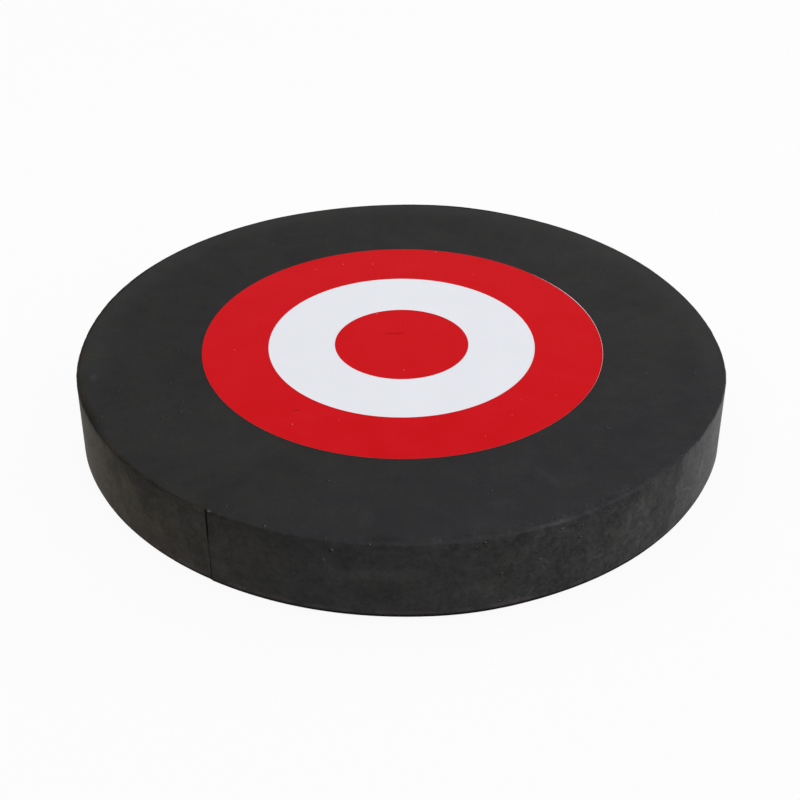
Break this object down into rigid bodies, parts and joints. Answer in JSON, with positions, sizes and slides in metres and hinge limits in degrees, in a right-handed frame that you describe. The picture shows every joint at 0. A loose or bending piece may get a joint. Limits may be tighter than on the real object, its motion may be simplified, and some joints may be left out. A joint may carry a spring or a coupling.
{
  "type": "archery target boss",
  "caption": "Round black foam target boss with a stuck-on red and white bullseye face, cut from one thick slab.",
  "frame": {"origin": "centre of the foam's back face, on which the disc lies", "axes": "+Z out of the printed face, along the disc's axis; -Y towards the viewer of the picture, +X to the viewer's right"},
  "size_m": [0.24, 0.24, 0.0302],
  "materials": {
    "foam": "closed-cell EVA foam, black; matt sliced faces with a fine cell grain and faint clouds, and a smoother knife-cut wall with a soft sheen at a glancing angle",
    "adhesive": "thin coat of pressure-sensitive adhesive, seen only as a hairline round the edge of the film",
    "white_film": "white vinyl film, satin gloss",
    "red_ink": "opaque red print on vinyl, satin gloss"
  },
  "bodies": {
    "root": {"foam_disc": "foam", "face_adhesive": "adhesive", "face_film": "white_film", "red_ring": "red_ink", "red_centre": "red_ink"}
  },
  "joints": []
}
